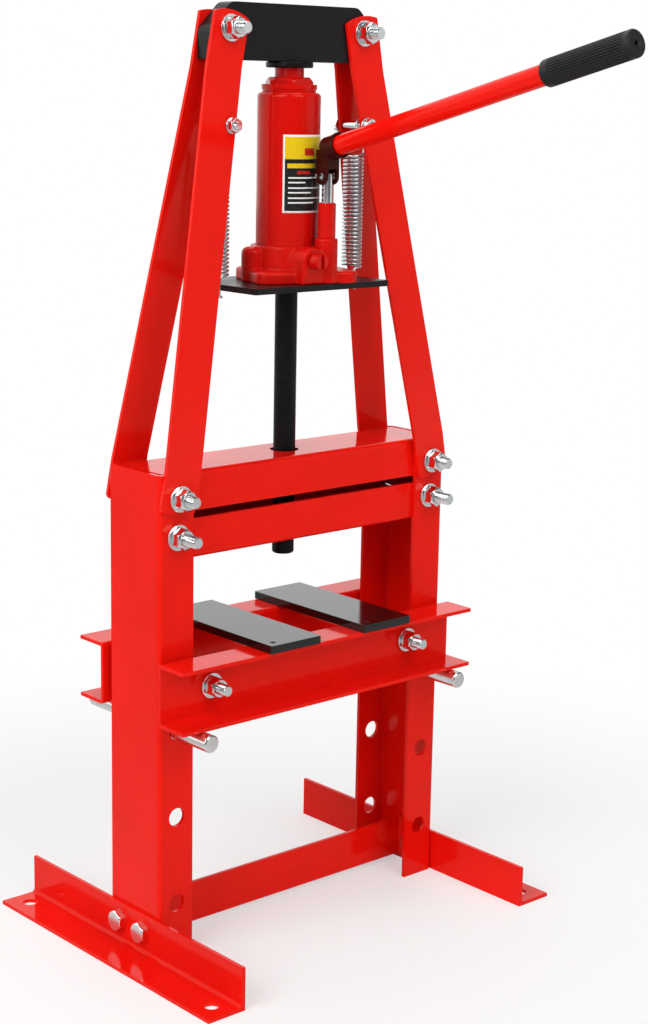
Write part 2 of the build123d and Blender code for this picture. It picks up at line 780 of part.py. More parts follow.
def pump_plunger():
    """The pump's round plunger, rounded over at its cross hole."""
    top = pump_pin_z + plunger_radius
    solid = rod_z(plunger_radius, top - plunger_length, top, pump_x, pump_y)
    dome = rod_x(plunger_radius, pump_x - plunger_radius, pump_x + plunger_radius, pump_y, pump_pin_z)
    below = rod_z(plunger_radius, top - plunger_length, pump_pin_z, pump_x, pump_y)
    solid = below + (solid & dome)
    reach = plunger_radius + overrun
    return solid - rod_x(pump_pin_radius + running_gap, pump_x - reach, pump_x + reach, pump_y, pump_pin_z)


def plunger_pin():
    """The cross pin through the plunger's head."""
    half = socket_width / 2
    return rod_x(pump_pin_radius, pump_x - half, pump_x + half, pump_y, pump_pin_z)


def handle_frame():
    """A plane whose Z runs along the handle, outwards and up, from a point over the plunger."""
    way = (0, -cos(radians(handle_angle)), sin(radians(handle_angle)))
    return Plane(origin=(pump_x, pump_y, socket_axis_z), x_dir=(1, 0, 0), z_dir=way)


def handle_socket():
    """The lever casting: two cheeks around the plunger's head, an eye on the link's pin and a handle socket."""
    left = pump_x - socket_width / 2
    right = socket_right
    body = rod_x(socket_round, left, right, pump_y, pump_pin_z)
    body += rod_x(socket_eye_radius, left, right, fulcrum_y, pump_pin_z)
    eye_low = pump_pin_z - socket_eye_radius
    body += block_between(left, right, pump_y, fulcrum_y, eye_low, pump_pin_z + socket_eye_radius)
    body += block_between(left, right, pump_y - socket_round, pump_y + socket_round, pump_pin_z, socket_axis_z)
    frame = handle_frame()
    tube = frame * extrude(Circle(socket_tube_radius), socket_tube_length)
    rim = frame.offset(socket_tube_length - socket_rim) * extrude(
        Circle(socket_tube_radius + socket_rim_step), socket_rim)
    solid = body + tube + rim
    bore_length = socket_tube_length - socket_floor + overrun
    solid -= frame.offset(socket_floor) * extrude(Circle(handle_radius + handle_play), bore_length)
    slot = plunger_radius + socket_slot_gap
    deep = socket_round + overrun
    slot_top = pump_pin_z + socket_slot_rise
    solid -= block_between(
        pump_x - slot, pump_x + slot, pump_y - deep, fulcrum_y + deep, pump_pin_z - deep, slot_top)
    x0 = left - overrun
    x1 = right + overrun
    solid -= rod_x(pump_pin_radius + pump_pin_play, x0, x1, pump_y, pump_pin_z)
    return solid - rod_x(pump_pin_radius + running_gap, x0, x1, fulcrum_y, pump_pin_z)


def fulcrum_link():
    """The link bar beside the pump, from a pin in the base up to the lever's eye."""
    low = pump_pin_z - link_pin_drop
    right = link_x + link_wall
    solid = rod_x(link_eye_radius, link_x, right, fulcrum_y, pump_pin_z)
    solid += rod_x(link_eye_radius, link_x, right, fulcrum_y, low)
    solid += block_between(
        link_x, right, fulcrum_y - link_eye_radius, fulcrum_y + link_eye_radius, low, pump_pin_z)
    for z in (low, pump_pin_z):
        solid -= rod_x(pump_pin_radius + running_gap, link_x - overrun, right + overrun, fulcrum_y, z)
    return solid


def link_pins():
    """The link's two pins: the lever's fulcrum above and the anchor in the base below."""
    low = pump_pin_z - link_pin_drop
    right = link_x + link_wall
    return [
        rod_x(pump_pin_radius, pump_x - socket_width / 2, right, fulcrum_y, pump_pin_z),
        rod_x(pump_pin_radius, socket_right - link_pin_grip, right, fulcrum_y, low),
    ]


def handle_bar():
    """The steel tube from the socket to the grip."""
    frame = handle_frame().offset(socket_floor)
    return frame * extrude(Circle(handle_radius) - Circle(handle_radius - handle_wall), handle_length)


def handle_grip():
    """The rubber sleeve: a smooth collar, ribs along its length and a rounded cap with a small vent."""
    frame = handle_frame().offset(socket_floor + handle_length - grip_length + grip_cap)
    ribbed = Circle(grip_radius)
    groove = Pos(grip_radius, 0) * Circle(grip_rib_depth)
    for rib in range(grip_ribs):
        ribbed -= Rot(0, 0, 360 / grip_ribs * rib) * groove
    solid = extrude(Circle(grip_radius), grip_collar)
    ribbed_length = grip_length - grip_collar - grip_cap
    solid += Pos(0, 0, grip_collar) * extrude(ribbed, ribbed_length)
    cap = extrude(Circle(grip_radius), grip_cap)
    cap = fillet(cap.edges().filter_by(GeomType.CIRCLE).sort_by(Axis.Z)[-1:], grip_cap_edge)
    solid += Pos(0, 0, grip_collar + ribbed_length) * cap
    bore = extrude(Circle(handle_radius + thread_play), grip_length - grip_cap)
    vent = extrude(Circle(grip_vent_radius), grip_length + overrun)
    return frame * (solid - bore - vent)


def large_ring(x, y, z):
    """A large washer whose rear face is at y."""
    return ring(large_washer_radius, large_bolt_radius + hole_play / 2, (x, y, z), (0, -1, 0), large_washer)


def through_stack(reach, z, face, tail):
    """A pair of large bolts along Y, reach from the middle, with washers on both faces and nuts in front."""
    bolts = []
    washers = []
    nuts = []
    forward = (0, -1, 0)
    length = 2 * (face + large_washer) + large_nut + tail
    for x in (-reach, reach):
        seat = (x, face + large_washer, z)
        bolts.append(hex_bolt(large_bolt_radius, large_flats, large_head, seat, forward, length))
        washers.append(large_ring(x, face + large_washer, z))
        washers.append(large_ring(x, -face, z))
        start = (x, -face - large_washer, z)
        nuts.append(threaded_nut(large_bolt_radius, large_flats, large_nut, start, forward))
    return bolts, washers, nuts


def hanger_stack():
    """The two spring bolts across the straps: washers touch the leaning straps at their lower edge."""
    bolts = []
    washers = []
    nuts = []
    forward = (0, -1, 0)
    outer = block_wall / 2 + strap_wall + (strap_head_fold_z - hanger_z) * strap_slope
    face = outer + (hanger_washer_radius + hole_play) * strap_slope
    length = 2 * (face + hanger_washer) + hanger_nut + hanger_tail
    for x in (-hanger_x, hanger_x):
        start = (x, face + hanger_washer, hanger_z)
        bolts.append(hex_bolt(hanger_bolt_radius, hanger_flats, hanger_head, start, forward, length))
        for y in (face + hanger_washer, -face):
            bore = hanger_bolt_radius + hole_play / 2
            washers.append(ring(hanger_washer_radius, bore, (x, y, hanger_z), forward, hanger_washer))
        nut_start = (x, -face - hanger_washer, hanger_z)
        nuts.append(threaded_nut(hanger_bolt_radius, hanger_flats, hanger_nut, nut_start, forward))
    return bolts, washers, nuts


def foot_stack():
    """The four foot bolts: heads outside the feet, nuts inside on the webs or the brace's tabs."""
    bolts = []
    nuts = []
    for side in (-1, 1):
        inward = (-side, 0, 0)
        for y in (-foot_bolt_spread / 2, foot_bolt_spread / 2):
            clamped = foot_wall + upright_wall + (brace_wall if y < 0 else 0)
            length = clamped + foot_nut + foot_bolt_tail
            start = (side * foot_face, y, foot_bolt_height)
            bolts.append(hex_bolt(foot_bolt_radius, foot_flats, foot_head, start, inward, length))
            nut_start = (side * (foot_face - clamped), y, foot_bolt_height)
            nuts.append(threaded_nut(foot_bolt_radius, foot_flats, foot_nut, nut_start, inward))
    return bolts, nuts


def bed_spacers():
    """Two tubes on the bed's tie bolts, which hold the rails apart."""
    inner = large_bolt_radius + hole_play
    return [
        ring(inner + spacer_wall, inner, (x, -rail_inner, rail_mid), (0, 1, 0), 2 * rail_inner)
        for x in (-bed_bolt_x, bed_bolt_x)
    ]


def save(node, shape):
    """Writes one node, a solid or a list of separate solids."""
    if isinstance(shape, list):
        shape = Compound(children=[solid for piece in shape for solid in piece.solids()])
    export_step(shape, f"parts/{node}.step")


def main():
    os.makedirs("parts", exist_ok=True)
    for name, side in (("left", -1), ("right", 1)):
        save(f"{name}_upright", upright(side))
        save(f"{name}_foot", foot(side))
        save(f"{name}_pin", support_pin(side))
        save(f"{name}_spring", spring(side))
        for place, depth_side in (("front", -1), ("rear", 1)):
            save(f"{place}_{name}_strap", strap(side, depth_side))
    save("cross_brace", cross_brace())
    save("upper_beam", cross_beam(upright_height, -1, upper_bolt_z, ram_radius + ram_hole_gap))
    save("lower_beam", cross_beam(lower_beam_base, 1, lower_bolt_z, ram_radius + ram_guide_gap))
    save("head_block", head_block())
    save("front_bed_rail", bed_rail(-1))
    save("rear_bed_rail", bed_rail(1))
    save("left_press_plate", left_press_plate())
    save("right_press_plate", right_press_plate())
    save("bed_spacers", bed_spacers())
    single_pieces = (
        ram_rod, carrier_plate, jack_base, reservoir, reservoir_gasket, pressure_cylinder, cap_nut, filler_plug,
        piston, piston_seal, saddle, pump_cylinder, plunger_seal, pump_plunger, plunger_pin, fulcrum_link,
        link_pins, handle_socket, handle_bar, handle_grip, release_valve, valve_balls,
    )
    for piece in single_pieces:
        save(piece.__name__, piece())
    upper = through_stack(row_x, upper_bolt_z, half_web + strap_wall, short_tail)
    lower = through_stack(row_x, lower_bolt_z, half_web, long_tail)
    for name, first, second in zip(("bolts", "washers", "nuts"), upper, lower):
        save(f"beam_{name}", first + second)
    head = through_stack(head_bolt_x, head_bolt_z, block_wall / 2 + strap_wall, short_tail)
    bed = through_stack(bed_bolt_x, rail_mid, rail_inner + rail_wall, bed_tail)
    hangers = hanger_stack()
    for group, stack in (("head", head), ("bed", bed), ("hanger", hangers)):
        for name, pieces in zip(("bolts", "washers", "nuts"), stack):
            save(f"{group}_{name}", pieces)
    foot_bolts, foot_nuts = foot_stack()
    save("foot_bolts", foot_bolts)
    save("foot_nuts", foot_nuts)


main()
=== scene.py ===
import math

import bmesh
import bpy
import numpy as np
from mathutils import Matrix, Vector


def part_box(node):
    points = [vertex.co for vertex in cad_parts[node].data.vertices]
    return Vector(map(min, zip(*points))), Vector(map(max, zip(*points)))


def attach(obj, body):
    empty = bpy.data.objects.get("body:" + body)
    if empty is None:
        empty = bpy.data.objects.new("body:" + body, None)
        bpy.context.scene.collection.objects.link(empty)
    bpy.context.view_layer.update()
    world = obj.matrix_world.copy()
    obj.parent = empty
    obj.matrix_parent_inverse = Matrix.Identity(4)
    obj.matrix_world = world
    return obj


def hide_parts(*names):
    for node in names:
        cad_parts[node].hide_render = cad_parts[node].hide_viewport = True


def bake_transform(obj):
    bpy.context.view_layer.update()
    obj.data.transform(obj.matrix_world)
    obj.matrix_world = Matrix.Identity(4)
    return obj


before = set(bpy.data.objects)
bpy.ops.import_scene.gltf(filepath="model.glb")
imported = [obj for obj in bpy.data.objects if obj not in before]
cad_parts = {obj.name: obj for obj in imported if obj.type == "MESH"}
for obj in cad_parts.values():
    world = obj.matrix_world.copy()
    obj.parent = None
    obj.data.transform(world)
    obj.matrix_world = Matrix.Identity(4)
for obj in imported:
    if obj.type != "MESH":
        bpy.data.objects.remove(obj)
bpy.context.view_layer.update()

# Bench press with an A-shaped head and a bottle jack, in metres. +Z is up, X runs across the uprights and
# the pump handle points to the front, -Y.

# Camera: where the photograph was taken from, in the same frame
CAMERA_PLACE = (-1.2975, -1.5178, 0.8694)
CAMERA_AZIMUTH = -41.75
CAMERA_ELEVATION = 12.26
CAMERA_ROLL = 1.07
CAMERA_LENS = 68.57
CAMERA_SENSOR = 36.0

# Finish colours, linear, with the warm tint of the red paint's reflections
RED = (0.82, 0.007, 0.003)
CAST_RED = (0.60, 0.0045, 0.003)
PAINT_TINT = (1.0, 0.88, 0.6)
DARK_RED = (0.038, 0.0014, 0.0018)
BLACK = (0.0050, 0.0050, 0.0051)
ZINC = (0.80, 0.83, 0.84)
STEEL = (0.80, 0.79, 0.78)
SPRING_STEEL = (0.64, 0.67, 0.69)
CHROME = (0.78, 0.78, 0.80)
RUBBER = (0.008, 0.0082, 0.0084)
LABEL_WHITE = (0.86, 0.85, 0.82)
LABEL_YELLOW = (0.74, 0.50, 0.006)
LABEL_BLACK = (0.012, 0.012, 0.013)
LABEL_RED = (0.50, 0.016, 0.012)
FLOOR = (0.90, 0.90, 0.90)

# Room light: on matt surfaces, and in reflections of the room's front, its back and the floor. The reflected
# room grades from front to back between two shares of the ray along +Y.
AMBIENT = 0.145
FRONT_GLOSS = 0.12
BACK_GLOSS = 1.3
FLOOR_GLOSS = 0.55
GRADE_FROM = -0.2
GRADE_TO = 0.7

# Floor: half its width, its finish, and the distances over which it fades to white
FLOOR_REACH = 12.0
FLOOR_ROUGHNESS = 0.6
FLOOR_SPECULAR = 0.2
FADE_FROM = 0.2
FADE_TO = 1.0
FADE_START = 0.45

# Lamps: name, place, target, width and power in watts
LAMPS = (
    ("key_lamp", (-2.7, -0.6, 2.1), (0, 0, 0.45), 2.2, 74),
    ("front_lamp", (-0.1, -2.8, 2.5), (0, 0, 0.45), 2.0, 47),
    ("side_lamp", (2.2, -2.3, 1.1), (0, 0, 0.6), 2.2, 9),
    ("top_lamp", (0.2, 0.4, 3.0), (0, 0, 0.5), 1.8, 34),
)

# Materials: the band where noise mostly lies, and the sockets of a colour mix
NOISE_LOW = 0.3
NOISE_HIGH = 0.7
MIX_FACTOR, MIX_FIRST, MIX_SECOND = 0, 6, 7
MIX_RESULT = 2

# Folded sheet and turned edges
SHEET_EDGE = 0.0006
FINE_EDGE = 0.0003
EDGE_STEPS = 3
EDGE_ANGLE = 35.0
FLAT_ANGLE = 0.5
FLAT_WEIGHT = 100
WELD_GAP = 1e-6

# Bolt threads, as shares of the bolt's radius
THREAD_PITCH_SHARE = 0.29
THREAD_DEPTH_SHARE = 0.13
THREAD_LENGTH_SHARE = 5.2
THREAD_STEPS = 10
THREAD_AROUND = 40
THREAD_ROOM_SHARE = 0.8
THREAD_SLOPE = 1.25
THREAD_CREST = 0.15
TIP_CHAMFER_SHARE = 0.17
SHANK_START_SHARE = 0.5

# Bolt heads: the chamfer's height, then radii as shares of the flats' or the hexagon's radius
HEX_SIDE_STEPS = 10
HEX_CHAMFER_SHARE = 0.16
HEX_CHAMFER_STEPS = 6
HEX_TOP_SHARE = 0.93
HEX_RISE_SHARE = 0.95
HEX_FOOT_SHARE = 0.985
HEX_FOOT_CHAMFER = 0.4

# How a bolt's parts are told apart: shares of its widest radius, its length and its shank's radius
HEAD_CORNER_SHARE = 0.98
SHANK_FROM_SHARE = 0.6
HEAD_OVER_SHANK = 1.2

# Return springs
WIRE_RADIUS = 0.0014
SPRING_TURNS = 29
SPRING_PITCH = 0.00395
SPRING_LOW_GAP = 0.0095
HOOK_CURL = 0.003
HOOK_GAP = 0.0004
TURN_STEPS = 40
WIRE_AROUND = 14

# Handle grip
GRIP_RIBS = 32
GRIP_RIB_STEPS = 10
GRIP_RIB_DEPTH = 0.0009
GRIP_RIB_POWER = 3
GRIP_RIB_ROWS = 24
GRIP_RUN_IN = 0.0012
GRIP_PLAY = 0.0001
GRIP_LIP = 0.0012
GRIP_COLLAR = 0.009
GRIP_NICK = 0.0003
GRIP_NICK_DEPTH = 0.0005
GRIP_CAP = 0.006
GRIP_ROUND = 0.003
GRIP_ROUND_STEPS = 7
GRIP_VENT = 0.0022
GRIP_VENT_EDGE = 0.0006
GRIP_SHARP_ANGLE = 50

# Label on the reservoir
LABEL_HALF_ANGLE = 50.0
LABEL_DROP = 0.0413
LABEL_HEIGHT = 0.0767
LABEL_THICKNESS = 0.0002
LABEL_RIM_SHARE = 0.2
LABEL_STEPS = 48
LABEL_BAR_LEFT = 0.10
LABEL_BAR_HEIGHT = 0.018

# Castings: voxel and smoothing of the copies that round their inner corners
BASE_VOXEL = 0.0009
SOCKET_VOXEL = 0.0006
CAST_SMOOTHING = 8
CAST_SMOOTH_SHARE = 0.5


def node_points(name):
    """All vertices of a CAD node as an array."""
    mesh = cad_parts[name].data
    points = np.empty(len(mesh.vertices) * 3)
    mesh.vertices.foreach_get("co", points)
    return points.reshape(-1, 3)


def node_solids(name):
    """The vertices of each separate solid of a node.

    Each vertex starts with its own number, and the lowest number of a triangle spreads over it until nothing
    changes, so the vertices of one solid end with one number.
    """
    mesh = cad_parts[name].data
    points = node_points(name)
    _, same = np.unique(np.round(points, 6), axis=0, return_inverse=True)
    corners = np.empty(len(mesh.loops), dtype=np.int64)
    mesh.loops.foreach_get("vertex_index", corners)
    triangles = same.reshape(-1)[corners].reshape(-1, 3)
    label = np.arange(same.max() + 1)
    while True:
        spread = label.copy()
        np.minimum.at(spread, triangles.ravel(), np.repeat(label[triangles].min(axis=1), 3))
        spread = spread[spread]
        if (spread == label).all():
            break
        label = spread
    owner = label[same.reshape(-1)]
    return [points[owner == number] for number in np.unique(owner)]


def loft_faces(rows, around, wrap_rows=False):
    """Quads between ring i and ring i + 1, closed around each ring."""
    last = rows if wrap_rows else rows - 1
    i, j = np.meshgrid(np.arange(last), np.arange(around), indexing="ij")
    next_i = (i + 1) % rows
    next_j = (j + 1) % around
    quads = (i * around + j, i * around + next_j, next_i * around + next_j, next_i * around + j)
    return np.stack(quads, axis=-1).reshape(-1, 4)


class Shell:
    """Rings of points gathered into one mesh, each loft a closed shell with flat ends or wrapped rows."""

    def __init__(self):
        self.points = []
        self.faces = []
        self.count = 0

    def loft(self, rings, wrap_rows=False):
        """Adds the loft over rings, an array of rows x around x 3."""
        rows, around, _ = rings.shape
        faces = (loft_faces(rows, around, wrap_rows) + self.count).tolist()
        if not wrap_rows:
            first = np.arange(around) + self.count
            faces.append(first[::-1].tolist())
            faces.append((first + (rows - 1) * around).tolist())
        self.points.append(rings.reshape(-1, 3))
        self.faces += faces
        self.count += rows * around

    def piece(self, name, material, sharp_angle=EDGE_ANGLE):
        """The finished mesh object, its faces outwards, smooth except over sharp edges."""
        mesh = bpy.data.meshes.new(name)
        mesh.from_pydata(np.concatenate(self.points).tolist(), [], self.faces)
        mesh.materials.append(material)
        finish_normals(mesh, sharp_angle)
        piece = bpy.data.objects.new(name, mesh)
        bpy.context.scene.collection.objects.link(piece)
        return piece


def finish_normals(mesh, sharp_angle):
    """Turns the faces outwards and marks edges over sharp_angle as sharp."""
    work = bmesh.new()
    work.from_mesh(mesh)
    bmesh.ops.recalc_face_normals(work, faces=work.faces)
    work.to_mesh(mesh)
    work.free()
    mesh.shade_smooth()
    mesh.set_sharp_from_angle(angle=math.radians(sharp_angle))


class Shader:
    """A node material whose nodes are made and linked by short calls."""

    def __init__(self, name, roughness, metallic=0.0, coat=0.0, coat_roughness=0.05, specular=0.5):
        self.material = bpy.data.materials.new(name)
        self.material.use_nodes = True
        self.nodes = self.material.node_tree.nodes
        self.links = self.material.node_tree.links
        self.surface = self.nodes["Principled BSDF"]
        self.set("Roughness", roughness)
        self.set("Metallic", metallic)
        self.set("Coat Weight", coat)
        self.set("Coat Roughness", coat_roughness)
        self.set("Specular IOR Level", specular)
        self.place = self.add("ShaderNodeTexCoord").outputs["Object"]

    def set(self, socket, value):
        self.surface.inputs[socket].default_value = value

    def add(self, kind, **values):
        node = self.nodes.new(kind)
        for name, value in values.items():
            setattr(node, name, value)
        return node

    def noise(self, scale, detail=4.0, stretch=None):
        """Noise over Object coordinates, its scale in waves per metre."""
        node = self.add("ShaderNodeTexNoise")
        node.inputs["Scale"].default_value = scale
        node.inputs["Detail"].default_value = detail
        place = self.place
        if stretch:
            mapping = self.add("ShaderNodeMapping")
            mapping.inputs["Scale"].default_value = stretch
            self.links.new(place, mapping.inputs["Vector"])
            place = mapping.outputs["Vector"]
        self.links.new(place, node.inputs["Vector"])
        return node.outputs["Fac"]

    def between(self, factor, low, high):
        """A number that runs from low to high as factor crosses the band where noise mostly lies."""
        node = self.add("ShaderNodeMapRange")
        node.inputs["From Min"].default_value = NOISE_LOW
        node.inputs["From Max"].default_value = NOISE_HIGH
        node.inputs["To Min"].default_value = low
        node.inputs["To Max"].default_value = high
        self.links.new(factor, node.inputs["Value"])
        return node.outputs["Result"]

    def tint(self, factor, colour, low, high):
        """The colour times a number between low and high."""
        node = self.add("ShaderNodeMix", data_type="RGBA")
        node.inputs[MIX_FIRST].default_value = (*[c * low for c in colour], 1)
        node.inputs[MIX_SECOND].default_value = (*[min(c * high, 1) for c in colour], 1)
        self.links.new(self.between(factor, 0, 1), node.inputs[MIX_FACTOR])
        return node.outputs[MIX_RESULT]

    def link(self, output, socket):
        self.links.new(output, self.surface.inputs[socket])

    def bump(self, heights):
        """Bumps from (height output, distance in metres, strength), one over the other."""
        normal = None
        for height, distance, strength in heights:
            node = self.add("ShaderNodeBump")
            node.inputs["Distance"].default_value = distance
            node.inputs["Strength"].default_value = strength
            self.links.new(height, node.inputs["Height"])
            if normal:
                self.links.new(normal, node.inputs["Normal"])
            normal = node.outputs["Normal"]
        self.link(normal, "Normal")


def gloss_paint(name, colour, roughness, coat, specular, peel):
    """Sprayed paint: faint patches of tone, uneven gloss and a fine orange-peel skin."""
    shader = Shader(name, roughness, coat=coat, specular=specular)
    shader.set("Specular Tint", (*PAINT_TINT, 1))
    patches = shader.noise(14, detail=3)
    shader.link(shader.tint(patches, colour, low=0.95, high=1.05), "Base Color")
    sheen = shader.noise(45, detail=3)
    shader.link(shader.between(sheen, low=roughness * 0.8, high=roughness * 1.25), "Roughness")
    skin = shader.noise(380, detail=1)
    shader.bump([(skin, 0.00003, peel)])
    return shader.material


def cast_paint(name, colour, roughness, specular):
    """Paint over sand-cast iron: the same spray on a grainy skin with shallow dimples."""
    shader = Shader(name, roughness, coat=0.0, specular=specular)
    shader.set("Specular Tint", (*PAINT_TINT, 1))
    patches = shader.noise(60, detail=4)
    shader.link(shader.tint(patches, colour, low=0.86, high=1.1), "Base Color")
    sheen = shader.noise(160, detail=4)
    shader.link(shader.between(sheen, low=roughness * 0.75, high=roughness * 1.3), "Roughness")
    grain = shader.noise(700, detail=5)
    dimples = shader.noise(150, detail=3)
    shader.bump([(grain, 0.00022, 0.35), (dimples, 0.0006, 0.25)])
    return shader.material


def satin_black(name, roughness, coat, specular):
    """Black powder coat: a fine even grain with slow changes of gloss."""
    shader = Shader(name, roughness, coat=coat, coat_roughness=0.12, specular=specular)
    patches = shader.noise(90, detail=4)
    shader.link(shader.tint(patches, BLACK, low=0.8, high=1.25), "Base Color")
    sheen = shader.noise(30, detail=3)
    shader.link(shader.between(sheen, low=roughness * 0.85, high=roughness * 1.2), "Roughness")
    grain = shader.noise(1300, detail=3)
    shader.bump([(grain, 0.00005, 0.2)])
    return shader.material


def plated(name, colour, roughness, grain, stretch=None):
    """Bright plated steel: cloudy tone, uneven polish and fine tool lines, long where stretch is small."""
    shader = Shader(name, roughness, metallic=1.0)
    clouds = shader.noise(70, detail=2)
    shader.link(shader.tint(clouds, colour, low=0.92, high=1.06), "Base Color")
    polish = shader.noise(110, detail=2)
    shader.link(shader.between(polish, low=roughness * 0.85, high=roughness * 1.2), "Roughness")
    lines = shader.noise(grain, detail=1, stretch=stretch)
    shader.bump([(lines, 0.00001, 0.06)])
    return shader.material


def painted_rod(name, paint_from):
    """A bright rod, painted red above the height paint_from by a step of the Object coordinate's Z."""
    shader = Shader(name, roughness=0.2, specular=0.25)
    split = shader.add("ShaderNodeSeparateXYZ")
    shader.links.new(shader.place, split.inputs["Vector"])
    painted = shader.add("ShaderNodeMath", operation="GREATER_THAN")
    painted.inputs[1].default_value = paint_from
    shader.links.new(split.outputs["Z"], painted.inputs[0])
    colour = shader.add("ShaderNodeMix", data_type="RGBA")
    shader.links.new(painted.outputs["Value"], colour.inputs[MIX_FACTOR])
    clouds = shader.noise(70, detail=2)
    shader.links.new(shader.tint(clouds, CHROME, low=0.92, high=1.06), colour.inputs[MIX_FIRST])
    patches = shader.noise(60, detail=4)
    shader.links.new(shader.tint(patches, CAST_RED, low=0.86, high=1.1), colour.inputs[MIX_SECOND])
    shader.link(colour.outputs[MIX_RESULT], "Base Color")
    metal = shader.add("ShaderNodeMath", operation="SUBTRACT")
    metal.inputs[0].default_value = 1.0
    shader.links.new(painted.outputs["Value"], metal.inputs[1])
    shader.link(metal.outputs["Value"], "Metallic")
    return shader.material


def moulded_rubber(name):
    """Matt black rubber with a fine mould grain."""
    shader = Shader(name, roughness=0.5, specular=0.3)
    patches = shader.noise(110, detail=4)
    shader.link(shader.tint(patches, RUBBER, low=0.8, high=1.3), "Base Color")
    sheen = shader.noise(220, detail=4)
    shader.link(shader.between(sheen, low=0.42, high=0.62), "Roughness")
    grain = shader.noise(1500, detail=4)
    shader.bump([(grain, 0.00008, 0.35)])
    return shader.material


def printed_label(name):
    """Fields of colour on the label: a pale border, a yellow head and a black body with plain bars.

    The label's UV map runs from 0 to 1 each way. A field is the product of two steps up and two steps down.
    """
    shader = Shader(name, roughness=0.28, coat=0.12, coat_roughness=0.1, specular=0.25)
    uv = shader.add("ShaderNodeUVMap", uv_map="Label").outputs["UV"]
    split = shader.add("ShaderNodeSeparateXYZ")
    shader.links.new(uv, split.inputs["Vector"])

    def step(value, over, sign):
        node = shader.add("ShaderNodeMath", operation="GREATER_THAN" if sign > 0 else "LESS_THAN")
        shader.links.new(value, node.inputs[0])
        node.inputs[1].default_value = over
        return node.outputs["Value"]

    def times(first, second):
        node = shader.add("ShaderNodeMath", operation="MULTIPLY")
        shader.links.new(first, node.inputs[0])
        shader.links.new(second, node.inputs[1])
        return node.outputs["Value"]

    def field(u0, u1, v0, v1):
        across = times(step(split.outputs["X"], u0, 1), step(split.outputs["X"], u1, -1))
        up = times(step(split.outputs["Y"], v0, 1), step(split.outputs["Y"], v1, -1))
        return times(across, up)

    def over(below, mask, colour):
        node = shader.add("ShaderNodeMix", data_type="RGBA")
        shader.links.new(mask, node.inputs[MIX_FACTOR])
        shader.links.new(below, node.inputs[MIX_FIRST])
        node.inputs[MIX_SECOND].default_value = (*colour, 1)
        return node.outputs[MIX_RESULT]

    paper = shader.noise(40, detail=2)
    colour = shader.tint(paper, LABEL_WHITE, low=0.96, high=1.02)
    for box, tone in label_fields():
        colour = over(colour, field(*box), tone)
    shader.link(colour, "Base Color")
    sheen = shader.noise(200, detail=3)
    shader.link(shader.between(sheen, low=0.22, high=0.34), "Roughness")
    return shader.material


def label_fields():
    """The label's fields as (left, right, low, high) shares of its width and height, with their colours."""
    left, right = 0.035, 0.965
    yield (left, right, 0.69, 0.975), LABEL_YELLOW
    yield (left, right, 0.025, 0.69), LABEL_BLACK
    yield (0.40, 0.62, 0.735, 0.83), LABEL_RED
    yield (0.08, 0.66, 0.575, 0.635), LABEL_YELLOW
    yield (0.26, 0.52, 0.50, 0.54), LABEL_RED
    bar_tops = (0.46, 0.40, 0.33, 0.27, 0.20, 0.14)
    bar_ends = (0.88, 0.42, 0.84, 0.55, 0.90, 0.62)
    for top, end in zip(bar_tops, bar_ends):
        yield (LABEL_BAR_LEFT, end, top - LABEL_BAR_HEIGHT, top), LABEL_WHITE


def soften_edges(name, width):
    """Rounds a CAD node's sharp edges by modifiers alone, so its mesh stays as it is.

    Its loose triangles are welded, flat ones are joined, edges get a small round, and the normals are then
    weighted by area so that the large faces stay flat.
    """
    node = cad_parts[name]
    weld = node.modifiers.new("weld", "WELD")
    weld.merge_threshold = WELD_GAP
    flat = node.modifiers.new("flats", "DECIMATE")
    flat.decimate_type = "DISSOLVE"
    flat.angle_limit = math.radians(FLAT_ANGLE)
    bevel = node.modifiers.new("edges", "BEVEL")
    bevel.width = width
    bevel.segments = EDGE_STEPS
    bevel.limit_method = "ANGLE"
    bevel.angle_limit = math.radians(EDGE_ANGLE)
    bevel.use_clamp_overlap = True
    weight = node.modifiers.new("shading", "WEIGHTED_NORMAL")
    weight.mode = "FACE_AREA"
    weight.weight = FLAT_WEIGHT
    weight.keep_sharp = False


def paint(names, material, edge=None):
    """Gives CAD nodes a material, and rounded edges where edge is their width."""
    for name in names:
        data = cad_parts[name].data
        data.materials.clear()
        data.materials.append(material)
        if edge:
            soften_edges(name, edge)


def ring_points(radius, turns):
    """Points at a radius, or an array of radii, round the Z axis at the given angles."""
    return np.stack([radius * np.cos(turns), radius * np.sin(turns)], axis=-1)


def bolt_frame(points):
    """A bolt solid's axis and sizes from its vertices.

    The axis is the longest side of its box. The head is the end whose vertices lie furthest from the axis.
    """
    low = points.min(axis=0)
    high = points.max(axis=0)
    axis = int(np.argmax(high - low))
    middle = (low + high) / 2
    across = np.delete(points - middle, axis, axis=1)
    radius = np.hypot(across[:, 0], across[:, 1])
    along = points[:, axis]
    corner = radius.max()
    head = along[radius > HEAD_CORNER_SHARE * corner]
    head_first = abs(head.mean() - low[axis]) < abs(head.mean() - high[axis])
    way = 1.0 if head_first else -1.0
    start = low[axis] if head_first else high[axis]
    far = (along - start) * way
    length = far.max()
    shank = radius[far > SHANK_FROM_SHARE * length].max()
    head_height = far[radius > HEAD_OVER_SHANK * shank].max()
    return axis, way, start, middle, corner, shank, head_height, length


def bolt_rings(sizes, profile, turns):
    """Rings at (distance along, radius) pairs set into a bolt's frame; radius may vary round the ring."""
    axis, way, start, middle = sizes[:4]
    along = np.array([row[0] for row in profile])
    radius = np.stack([np.broadcast_to(row[1], turns.shape) for row in profile])
    flat = ring_points(radius, turns)
    rings = np.empty((len(along), len(turns), 3))
    others = [k for k in range(3) if k != axis]
    rings[..., axis] = (start + way * along)[:, None]
    rings[..., others[0]] = middle[others[0]] + flat[..., 0]
    rings[..., others[1]] = middle[others[1]] + flat[..., 1]
    return rings


